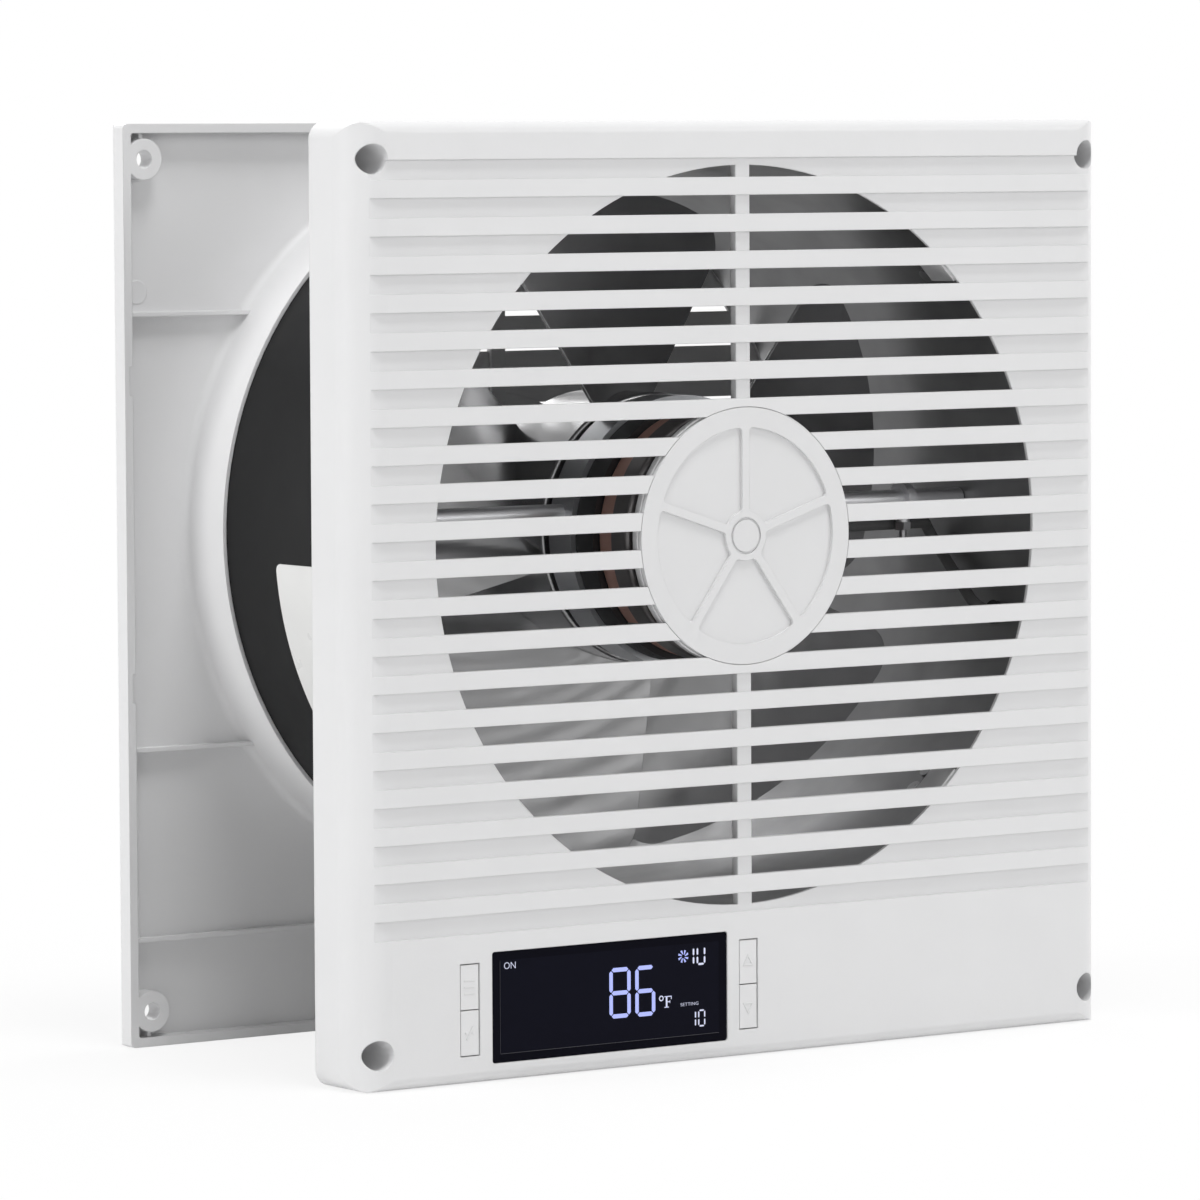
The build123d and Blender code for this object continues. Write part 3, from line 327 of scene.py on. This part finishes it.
@dataclass(frozen=True)
class DuctFinish(Finish):
    """Painted tube: satin black outside, bare galvanised sheet inside."""

    inner_colour: Colour = (0.28, 0.28, 0.285)
    inner_spread: float = 1.2
    inner_scale: float = 60.0
    wall_middle: float = 102.4

    def outside(self, sheet: NodeSheet) -> Socket:
        """Adds the mask of the painted side.

        Args:
            sheet: The node tree.

        Returns:
            A value of 1 outside the middle of the wall and 0 inside it.
        """
        axis = sheet.add("ShaderNodeVectorMath", operation="SUBTRACT")
        axis.inputs[1].default_value = (0.0, 0.0, AXIS_Z * MM)
        sheet.link(sheet.add("ShaderNodeTexCoord").outputs["Object"], axis.inputs[0])
        flat = sheet.add("ShaderNodeVectorMath", operation="MULTIPLY")
        flat.inputs[1].default_value = (1.0, 0.0, 1.0)
        sheet.link(axis.outputs["Vector"], flat.inputs[0])
        length = sheet.add("ShaderNodeVectorMath", operation="LENGTH")
        sheet.link(flat.outputs["Vector"], length.inputs[0])
        beyond = sheet.add("ShaderNodeMath", operation="GREATER_THAN")
        beyond.inputs[1].default_value = self.wall_middle * MM
        sheet.link(length.outputs["Value"], beyond.inputs[0])
        return beyond.outputs["Value"]

    def colour_socket(self, sheet: NodeSheet, spot: Socket) -> Socket:
        """Adds the colour that changes from the inside to the outside of the wall.

        Args:
            sheet: The node tree.
            spot: Coordinates that the variation follows.

        Returns:
            The colour socket.
        """
        paint = Finish.colour_socket(self, sheet, spot)
        light = tuple(channel * self.inner_spread for channel in self.inner_colour)
        value = sheet.spread(sheet.noise(spot, self.inner_scale), 0.0, 1.0)
        bare = sheet.tint(value, self.inner_colour, light)
        mix = sheet.add("ShaderNodeMix", data_type="RGBA")
        sheet.link(self.outside(sheet), mix.inputs[MIX_SHARE])
        sheet.link(bare, mix.inputs[MIX_FIRST])
        sheet.link(paint, mix.inputs[MIX_SECOND])
        return mix.outputs[MIX_RESULT]

    def extra(self, sheet: NodeSheet, shader: bpy.types.Node) -> None:
        """Makes the bare side metallic."""
        bare = sheet.add("ShaderNodeMath", operation="SUBTRACT")
        bare.inputs[0].default_value = 1.0
        sheet.link(self.outside(sheet), bare.inputs[1])
        sheet.link(bare.outputs["Value"], shader.inputs["Metallic"])


@dataclass(frozen=True)
class LitFinish(Finish):
    """Display segments that glow a little."""

    glow: float = 0.8

    def extra(self, sheet: NodeSheet, shader: bpy.types.Node) -> None:
        """Sets the glow of the segments."""
        shader.inputs["Emission Color"].default_value = (*self.colour, 1.0)
        shader.inputs["Emission Strength"].default_value = self.glow


WHITE = Finish("satin_white_abs", (0.76, 0.76, 0.765), 0.42, tint_spread=0.012, edge_radius=0.00045)
BADGE = Finish("badge_white_abs", (0.74, 0.74, 0.745), 0.46, tint_spread=0.012, edge_radius=0.0003)
BUTTON = Finish("button_white_abs", (0.78, 0.78, 0.785), 0.4, tint_spread=0.012, edge_radius=0.0002)
WINDOW = Finish(
    "display_window_black", (0.003, 0.003, 0.007), 0.14, specular=0.04, grain_depth=0.000001
)
ACTIVE = Finish(
    "display_area_black", (0.005, 0.0052, 0.011), 0.18, specular=0.04, grain_depth=0.000001
)
LCD = Finish("display_module_dark", (0.02, 0.02, 0.03), 0.3)
BLACK = Finish("black_moulding", (0.02, 0.02, 0.02), 0.5)
BOARD = Finish("green_solder_mask", (0.02, 0.16, 0.06), 0.35, coat=0.3)
DUCT = DuctFinish("duct_black_and_bare", (0.014, 0.014, 0.0145), 0.4, Grain.POWDER, specular=0.12)
VINYL = Finish("bare_white_vinyl", (0.78, 0.78, 0.77), 0.3, Grain.PAPER, grain_depth=0.00001)
CAP = Finish("motor_cap_grey", (0.2, 0.19, 0.19), 0.35, Grain.CAST, metallic=0.6)
COPPER = Finish("enamelled_copper", (0.62, 0.37, 0.31), 0.4, Grain.WOUND, 0.35, grain_depth=0.0002)
CORE = Finish("laminated_steel", (0.05, 0.05, 0.052), 0.5, Grain.LAMINATED, 0.6, grain_depth=0.0001)
CAST = Finish("cast_aluminium", (0.07, 0.07, 0.072), 0.5, Grain.CAST, 0.7, grain_depth=0.00006)
BRIGHT = Finish(
    "bright_steel",
    (0.72, 0.72, 0.73),
    0.07,
    Grain.BRUSHED,
    1.0,
    gloss_spread=0.03,
    grain_depth=0.000003,
)
ZINC = Finish("zinc_steel", (0.5, 0.5, 0.51), 0.3, Grain.BRUSHED, 1.0, grain_depth=0.00001)
BLADE = Finish(
    "coated_blade_sheet",
    (0.52, 0.52, 0.525),
    0.2,
    Grain.SHEET,
    0.9,
    tint_spread=0.06,
    edge_radius=0.0003,
)
RUBBER = Finish("black_rubber", (0.018, 0.018, 0.018), 0.6)
LEAD = Finish("lead_jacket", (0.72, 0.72, 0.73), 0.3)
LIT = LitFinish("display_segments", (0.3, 0.34, 0.68), 0.5, glow=0.62)
LIT_WHITE = LitFinish("display_words", (0.5, 0.52, 0.66), 0.5, glow=0.5)
FAINT = Finish("display_edge_line", (0.05, 0.05, 0.06), 0.3)


def new_piece(
    name: str, mesh: bpy.types.Mesh, finish: Finish, body: str
) -> bpy.types.Object:
    """Adds a piece to the scene.

    Args:
        name: The piece's name.
        mesh: Its mesh, in metres in the frame.
        finish: The finish that it wears.
        body: The body that it rides on.

    Returns:
        The new object.
    """
    piece = bpy.data.objects.new(name, mesh)
    bpy.context.scene.collection.objects.link(piece)
    mesh.materials.clear()
    mesh.materials.append(finish.material())
    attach(piece, body)
    LOG.info("piece %s on %s", name, body)
    return piece


@dataclass
class SubAssembly:
    """A group of the frame's nodes that keep their shape and get their finishes here."""

    def finishes(self) -> dict[Finish, tuple[str, ...]]:
        """Returns the nodes that wear each finish."""
        return {}

    def dress(self) -> set[str]:
        """Gives every node of the group its finish.

        Returns:
            The names of the dressed nodes.
        """
        dressed: set[str] = set()
        for finish, names in self.finishes().items():
            for name in names:
                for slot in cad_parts[name].material_slots:
                    slot.material = finish.material()
                LOG.info("node %s in %s", name, finish.name)
                dressed.add(name)
        return dressed


@dataclass
class Covers(SubAssembly):
    """The two louvred covers, the plate behind the controls and the badges."""

    shell: Finish = WHITE
    badge: Finish = BADGE

    def finishes(self) -> dict[Finish, tuple[str, ...]]:
        """Returns the nodes that wear each finish."""
        return {
            self.shell: ("front_cover", "inner_plate", "rear_plate"),
            self.badge: ("medallion", "rear_medallion"),
            ZINC: ("inner_plate_screws",),
        }


@dataclass
class Controls(SubAssembly):
    """Buttons, window, display module, boards, inlet and temperature sensor."""

    caps: Finish = BUTTON
    window: Finish = WINDOW
    module: Finish = LCD
    boards: Finish = BOARD
    mouldings: Finish = BLACK

    def finishes(self) -> dict[Finish, tuple[str, ...]]:
        """Returns the nodes that wear each finish."""
        return {
            self.caps: ("button_menu", "button_mode", "button_up", "button_down"),
            self.window: ("display_window",),
            self.module: ("lcd_module",),
            self.boards: ("control_board", "power_board"),
            self.mouldings: (
                "button_switches",
                "power_components",
                "power_inlet",
                "temperature_sensor",
            ),
            ZINC: ("board_screws",),
        }


@dataclass
class Duct(SubAssembly):
    """The painted tube with its sticker, lugs and fasteners."""

    tube: Finish = DUCT
    sticker: Finish = VINYL

    def finishes(self) -> dict[Finish, tuple[str, ...]]:
        """Returns the nodes that wear each finish."""
        return {
            self.tube: ("duct_tube",),
            self.sticker: ("duct_label",),
            ZINC: ("duct_lugs", "lug_rivets", "lug_screws", "rod_screws"),
        }


@dataclass
class Motor(SubAssembly):
    """The motor, the rods and rings that hold it, and its lead."""

    cap: Finish = CAP
    windings: Finish = COPPER
    core: Finish = CORE
    casting: Finish = CAST
    steel: Finish = BRIGHT
    lead: Finish = LEAD
    grommet: Finish = RUBBER

    def finishes(self) -> dict[Finish, tuple[str, ...]]:
        """Returns the nodes that wear each finish."""
        return {
            self.cap: ("motor_end_cap",),
            self.windings: ("motor_windings",),
            self.core: ("stator_core", "rotor_core"),
            self.casting: ("motor_bracket",),
            self.steel: (
                "strut_rods",
                "strut_clamps",
                "motor_shaft",
                "front_bearing",
                "rear_bearing",
            ),
            self.lead: ("motor_lead",),
            self.grommet: ("lead_grommet",),
            ZINC: ("motor_bolts", "clamp_screws"),
        }


@dataclass
class FanWheel(SubAssembly):
    """The five-bladed wheel with its hub and fasteners."""

    sheet: Finish = BLADE

    def finishes(self) -> dict[Finish, tuple[str, ...]]:
        """Returns the nodes that wear each finish."""
        return {self.sheet: ("fan_blades", "fan_hub"), ZINC: ("hub_screws", "shaft_nut")}


@dataclass(frozen=True)
class Digit:
    """One seven-segment digit: lit segments, lower left corner, size and segment width."""

    lit: str
    low: Point
    size: Point
    width: float


@dataclass(frozen=True)
class Word:
    """One printed word: text, piece name, left end of its baseline, width and capital height."""

    text: str
    name: str
    low: Point
    width: float
    height: float


@dataclass
class Display:
    """Segments, words and signs on the display window. Sizes are in millimetres from its middle."""

    middle_x: float = -45.6
    middle_z: float = 19.8
    face_y: float = FRONT_Y + 0.3
    film: float = 0.03
    segment_gap: float = 0.19
    half_width: float = 36.0
    half_height: float = 12.5
    line_height: float = 0.1
    line_width: float = 0.06
    large_digits: tuple[Digit, ...] = (
        Digit("abcdefg", (-0.45, -6.0), (7.05, 13.7), 1.15),
        Digit("acdefg", (8.1, -6.15), (6.65, 13.8), 1.15),
    )
    small_digits: tuple[Digit, ...] = (
        Digit("ef", (27.3, 6.4), (2.8, 5.15), 0.55),
        Digit("bcdef", (28.6, 6.4), (2.95, 5.15), 0.55),
        Digit("ef", (27.95, -10.45), (2.3, 4.65), 0.42),
        Digit("abcdef", (29.05, -10.45), (2.4, 4.65), 0.42),
    )
    words: tuple[Word, ...] = (
        Word("ON", "display_word_on", (-34.73, 10.06), 3.73, 1.8),
        Word("SETTING", "display_word_setting", (23.17, -4.4), 5.95, 0.85),
    )
    letter_relief: float = 0.01
    letter_thinning: float = -0.012
    letter_steps: int = 3
    degree_middle: Point = (16.75, -1.75)
    degree_outer: float = 0.78
    degree_inner: float = 0.48
    degree_steps: int = 20
    scale_letter: tuple[tuple[Point, Point], ...] = (
        ((18.25, -4.4), (18.8, -1.25)),
        ((17.8, -4.4), (19.25, -4.15)),
        ((17.8, -1.5), (20.2, -1.25)),
        ((19.95, -2.15), (20.2, -1.25)),
        ((18.8, -2.95), (19.7, -2.7)),
        ((19.5, -3.2), (19.7, -2.45)),
    )
    fan_middle: Point = (24.15, 9.15)
    fan_petals: int = 8
    petal_corners: tuple[Point, ...] = (
        (0.0, 0.55),
        (0.25, 1.75),
        (0.6, 1.75),
        (0.55, 1.1),
        (0.35, 0.55),
    )

    def prism(self, mesh: bmesh.types.BMesh, outline: list[Point], lift: float = 0.0) -> None:
        """Adds a thin plate with the given outline, proud of the window.

        Args:
            mesh: The mesh that it joins.
            outline: Corners in order, from the window's middle.
            lift: Distance of its back from the window.
        """
        back = self.face_y - lift
        rings = []
        for depth in (back, back - self.film):
            ring = []
            for x, z in outline:
                corner = Vector((self.middle_x + x, depth, self.middle_z + z))
                ring.append(mesh.verts.new(corner * MM))
            rings.append(ring)
        mesh.faces.new(rings[0])
        mesh.faces.new(list(reversed(rings[1])))
        count = len(outline)
        for index in range(count):
            after = (index + 1) % count
            mesh.faces.new((rings[0][after], rings[0][index], rings[1][index], rings[1][after]))

    def plate(self, mesh: bmesh.types.BMesh, low: Point, high: Point, lift: float = 0.0) -> None:
        """Adds a rectangle between two corners.

        Args:
            mesh: The mesh that it joins.
            low: Lower left corner.
            high: Upper right corner.
            lift: Distance of its back from the window.
        """
        self.prism(mesh, [low, (high[0], low[1]), high, (low[0], high[1])], lift)

    def bar(self, mesh: bmesh.types.BMesh, start: Point, end: Point, width: float) -> None:
        """Adds one segment with pointed ends.

        Args:
            mesh: The mesh that it joins.
            start: One end.
            end: The other end.
            width: Its width.
        """
        along = Vector(end) - Vector(start)
        step = along.normalized()
        side = Vector((-step.y, step.x)) * width / 2
        first = Vector(start) + step * self.segment_gap
        last = Vector(end) - step * self.segment_gap
        inset = step * width / 2
        upper = [first, first + inset + side, last - inset + side]
        lower = [last, last - inset - side, first + inset - side]
        self.prism(mesh, [(corner.x, corner.y) for corner in upper + lower])

    def digit(self, mesh: bmesh.types.BMesh, shape: Digit) -> None:
        """Adds the lit segments of one digit.

        Args:
            mesh: The mesh that they join.
            shape: The digit.
        """
        left = shape.low[0] + shape.width / 2
        right = shape.low[0] + shape.size[0] - shape.width / 2
        bottom = shape.low[1] + shape.width / 2
        top = shape.low[1] + shape.size[1] - shape.width / 2
        centre = (bottom + top) / 2
        ends = {
            "a": ((left, top), (right, top)),
            "b": ((right, centre), (right, top)),
            "c": ((right, bottom), (right, centre)),
            "d": ((left, bottom), (right, bottom)),
            "e": ((left, bottom), (left, centre)),
            "f": ((left, centre), (left, top)),
            "g": ((left, centre), (right, centre)),
        }
        for letter in shape.lit:
            self.bar(mesh, *ends[letter], shape.width)

    def show(
        self, name: str, mesh: bmesh.types.BMesh, finish: Finish
    ) -> None:
        """Turns an edit mesh into a piece of the display with outward faces.

        Args:
            name: The piece's name.
            mesh: The edit mesh, which is freed.
            finish: The finish that it wears.
        """
        bmesh.ops.recalc_face_normals(mesh, faces=mesh.faces)
        data = bpy.data.meshes.new(name)
        mesh.to_mesh(data)
        mesh.free()
        new_piece(name, data, finish, "housing")

    def numbers(self) -> None:
        """Builds the temperature and the two small numbers."""
        large = bmesh.new()
        for shape in self.large_digits:
            self.digit(large, shape)
        self.show("display_temperature", large, LIT)
        small = bmesh.new()
        for shape in self.small_digits:
            self.digit(small, shape)
        self.show("display_small_numbers", small, LIT_WHITE)

    def word(self, label: Word) -> None:
        """Builds one printed word.

        Args:
            label: The word.
        """
        curve = bpy.data.curves.new(label.name, "FONT")
        curve.body = label.text
        curve.extrude = self.letter_relief
        curve.resolution_u = self.letter_steps
        curve.offset = self.letter_thinning
        holder = bpy.data.objects.new(label.name, curve)
        bpy.context.scene.collection.objects.link(holder)
        bpy.context.view_layer.update()
        drawn = holder.evaluated_get(bpy.context.evaluated_depsgraph_get())
        mesh = bpy.data.meshes.new_from_object(drawn)
        bpy.data.objects.remove(holder)
        low = [min(vertex.co[axis] for vertex in mesh.vertices) for axis in range(3)]
        high = [max(vertex.co[axis] for vertex in mesh.vertices) for axis in range(3)]
        scale_x = label.width / (high[0] - low[0])
        scale_y = label.height / (high[1] - low[1])
        deep = self.film / (high[2] - low[2])
        for vertex in mesh.vertices:
            x = self.middle_x + label.low[0] + (vertex.co.x - low[0]) * scale_x
            z = self.middle_z + label.low[1] + (vertex.co.y - low[1]) * scale_y
            y = self.face_y - (vertex.co.z - low[2]) * deep
            vertex.co = Vector((x, y, z)) * MM
        new_piece(label.name, mesh, LIT_WHITE, "housing")

    def sector(self, mesh: bmesh.types.BMesh, middle: Point, corners: list[Point]) -> None:
        """Adds a plate whose corners are given by angle and radius.

        Args:
            mesh: The mesh that it joins.
            middle: The point that the angles turn about.
            corners: Angle in radians and radius of each corner.
        """
        outline = []
        for angle, radius in corners:
            across = middle[0] + radius * math.cos(angle)
            above = middle[1] + radius * math.sin(angle)
            outline.append((across, above))
        self.prism(mesh, outline)

    def degree_sign(self) -> None:
        """Builds the degree ring and the letter of the scale after it."""
        mesh = bmesh.new()
        outer = self.degree_outer
        inner = self.degree_inner
        for step in range(self.degree_steps):
            start = 2 * math.pi * step / self.degree_steps
            end = 2 * math.pi * (step + 1) / self.degree_steps
            corners = [(start, outer), (end, outer), (end, inner), (start, inner)]
            self.sector(mesh, self.degree_middle, corners)
        for low, high in self.scale_letter:
            self.plate(mesh, low, high)
        self.show("display_degree_sign", mesh, LIT_WHITE)

    def fan_sign(self) -> None:
        """Builds the small fan sign."""
        mesh = bmesh.new()
        for petal in range(self.fan_petals):
            start = 2 * math.pi * petal / self.fan_petals
            corners = [(start + turn, radius) for turn, radius in self.petal_corners]
            self.sector(mesh, self.fan_middle, corners)
        self.show("display_fan_sign", mesh, LIT)

    def area(self) -> None:
        """Builds the lighter display area and the faint line along its lower and left edges."""
        wide = self.half_width
        high = self.half_height
        area = bmesh.new()
        self.plate(area, (-wide, -high), (wide, high), -self.film / 2)
        self.show("display_area", area, ACTIVE)
        line = bmesh.new()
        self.plate(line, (-wide, -high - self.line_height), (wide, -high))
        self.plate(line, (-wide - self.line_width, -high), (-wide, high))
        self.show("display_edge_line", line, FAINT)

    def build(self) -> None:
        """Builds everything on the window."""
        self.area()
        self.numbers()
        for label in self.words:
            self.word(label)
        self.degree_sign()
        self.fan_sign()


@dataclass(frozen=True)
class Lamp:
    """One soft area lamp: place in metres, side of its square and power in watts."""

    name: str
    place: Place
    size: float
    power: float


@dataclass
class Studio:
    """Floor, lamps, world and camera. The camera is the one fitted to the photograph."""

    lens: float = 201.98
    sensor: float = 36.0
    view_end: float = 100.0
    camera_at: Place = (-1084.82, -1532.06, 249.78)
    forward: Place = (0.574568, 0.815621, -0.068072)
    right: Place = (0.817316, -0.576169, -0.004883)
    floor_half: float = 6.0
    floor_drop: float = 0.0002
    floor_colour: Colour = (0.86, 0.86, 0.86)
    shadow_start: float = 0.14
    shadow_end: float = 0.4
    shadow_white: float = 0.82
    world_strength: float = 0.4
    lamps: tuple[Lamp, ...] = (
        Lamp("key_left", (-2.0, 0.15, 1.0), 0.8, 18.0),
        Lamp("fill_front", (1.3, -1.8, 0.9), 0.8, 9.0),
        Lamp("top_soft", (-0.1, -0.6, 1.8), 0.6, 15.5),
        Lamp("edge_right", (1.9, 0.5, 0.8), 0.6, 12.0),
        Lamp("soft_back", (0.5, 2.0, 1.1), 0.8, 9.0),
    )

    def camera(self) -> None:
        """Adds the camera."""
        data = bpy.data.cameras.new("photo_camera")
        data.sensor_width = self.sensor
        data.lens = self.lens
        data.clip_end = self.view_end
        camera = bpy.data.objects.new("photo_camera", data)
        bpy.context.scene.collection.objects.link(camera)
        ahead = Vector(self.forward).normalized()
        side = Vector(self.right).normalized()
        up = side.cross(ahead)
        turn = Matrix((side, up, -ahead)).transposed().to_4x4()
        camera.matrix_world = Matrix.Translation(Vector(self.camera_at) * MM) @ turn
        bpy.context.scene.camera = camera

    def floor_material(self) -> bpy.types.Material:
        """Builds the white floor finish, which keeps a soft shadow.

        Returns:
            The material.
        """
        material = bpy.data.materials.new("studio_floor")
        sheet = NodeSheet(material)
        matt = sheet.add("ShaderNodeBsdfDiffuse")
        matt.inputs["Color"].default_value = (*self.floor_colour, 1.0)
        white = sheet.add("ShaderNodeEmission")
        reach = sheet.add("ShaderNodeVectorMath", operation="LENGTH")
        sheet.link(sheet.add("ShaderNodeTexCoord").outputs["Object"], reach.inputs[0])
        fade = sheet.add("ShaderNodeMapRange", interpolation_type="SMOOTHSTEP")
        fade.inputs["From Min"].default_value = self.shadow_start
        fade.inputs["From Max"].default_value = self.shadow_end
        fade.inputs["To Min"].default_value = self.shadow_white
        sheet.link(reach.outputs["Value"], fade.inputs["Value"])
        share = sheet.join("MULTIPLY", sheet.backdrop_rays(), fade.outputs["Result"])
        sheet.blend_shaders(share, matt.outputs["BSDF"], white.outputs["Emission"])
        return material

    def floor(self) -> None:
        """Adds the floor."""
        half = self.floor_half
        corners = [(-half, -half, 0), (half, -half, 0), (half, half, 0), (-half, half, 0)]
        mesh = bpy.data.meshes.new("studio_floor")
        mesh.from_pydata(corners, [], [(0, 1, 2, 3)])
        mesh.materials.append(self.floor_material())
        floor = bpy.data.objects.new("studio_floor", mesh)
        floor.location.z = -self.floor_drop
        bpy.context.scene.collection.objects.link(floor)

    def world(self) -> None:
        """Sets the even surroundings, plain white where the camera sees them."""
        world = bpy.data.worlds.new("studio_world")
        bpy.context.scene.world = world
        sheet = NodeSheet(world, "ShaderNodeOutputWorld")
        skies = []
        for strength in (self.world_strength, 1.0):
            sky = sheet.add("ShaderNodeBackground")
            sky.inputs["Color"].default_value = (1.0, 1.0, 1.0, 1.0)
            sky.inputs["Strength"].default_value = strength
            skies.append(sky.outputs["Background"])
        sheet.blend_shaders(sheet.backdrop_rays(), *skies)

    def light(self, lamp: Lamp) -> None:
        """Adds a lamp that faces the fan.

        Args:
            lamp: The lamp.
        """
        data = bpy.data.lights.new(lamp.name, "AREA")
        data.size = lamp.size
        data.energy = lamp.power
        holder = bpy.data.objects.new(lamp.name, data)
        holder.location = lamp.place
        aim = Vector((0.0, 0.0, AXIS_Z * MM)) - Vector(lamp.place)
        holder.rotation_euler = aim.to_track_quat("-Z", "Y").to_euler()
        bpy.context.scene.collection.objects.link(holder)

    def build(self) -> None:
        """Builds the studio."""
        self.camera()
        self.floor()
        self.world()
        for lamp in self.lamps:
            self.light(lamp)
        bpy.context.scene.view_settings.view_transform = "Standard"


def main() -> None:
    """Builds the looks in order.

    Raises:
        ValueError: If a node of the frame has no finish here.
    """
    logging.basicConfig(level=logging.INFO, format="%(message)s")
    Studio().build()
    dressed: set[str] = set()
    for group in (Covers(), Controls(), Duct(), Motor(), FanWheel()):
        dressed |= group.dress()
    bare = sorted(set(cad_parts) - dressed)
    if bare:
        raise ValueError(f"nodes without a finish: {bare}")
    Display().build()


if __name__ == "__main__":
    main()
